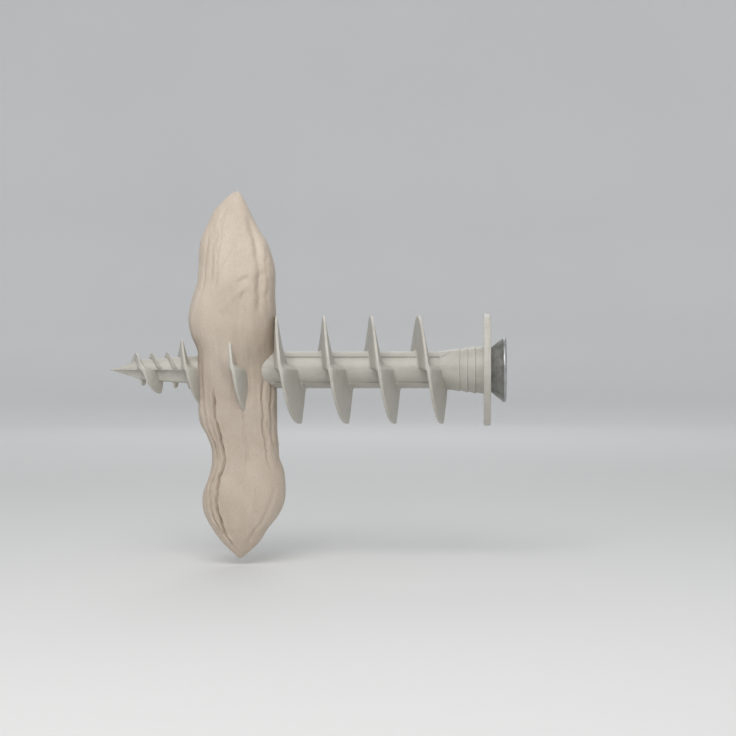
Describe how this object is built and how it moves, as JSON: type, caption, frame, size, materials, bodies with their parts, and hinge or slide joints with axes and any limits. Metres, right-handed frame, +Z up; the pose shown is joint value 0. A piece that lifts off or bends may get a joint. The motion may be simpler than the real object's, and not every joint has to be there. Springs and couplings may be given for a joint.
{
  "type": "spiral wall anchor",
  "caption": "Self-cutting spiral wall anchor with a drill point, wide flange, countersunk screw and a plug of set adhesive around its nose.",
  "frame": {"origin": "centre of the flange's outer face, on the anchor's axis", "axes": "+X along the axis out of the wall, towards the screw head; +Z up, along the plug's upper lobe; +Y away from the picture's viewer"},
  "size_m": [0.0937, 0.0264, 0.0866],
  "materials": {
    "nylon": "satin moulded glass-filled nylon",
    "screw_steel": "dull zinc-plated steel",
    "set_adhesive": "matt set resin"
  },
  "bodies": {
    "anchor": {"flange_plate": "nylon", "ringed_collar": "nylon", "barrel_core": "nylon", "barrel_rib_upper": "nylon", "barrel_rib_lower": "nylon", "barrel_shoulder": "nylon", "nose_barrel": "nylon", "drill_point": "nylon", "flight_1": "nylon", "flight_2": "nylon", "flight_3": "nylon", "flight_4": "nylon", "flight_5": "nylon", "flight_6": "nylon", "flight_7": "nylon", "cutting_ridge_1": "nylon", "cutting_ridge_2": "nylon", "adhesive_plug": "set_adhesive"},
    "screw": {"screw_head": "screw_steel", "screw_shank": "screw_steel", "screw_thread": "screw_steel"}
  },
  "joints": [
    {"name": "screw_travel", "type": "slide", "parent": "anchor", "child": "screw", "axis": [1, 0, 0], "range_m": [0, 0.035]}
  ]
}
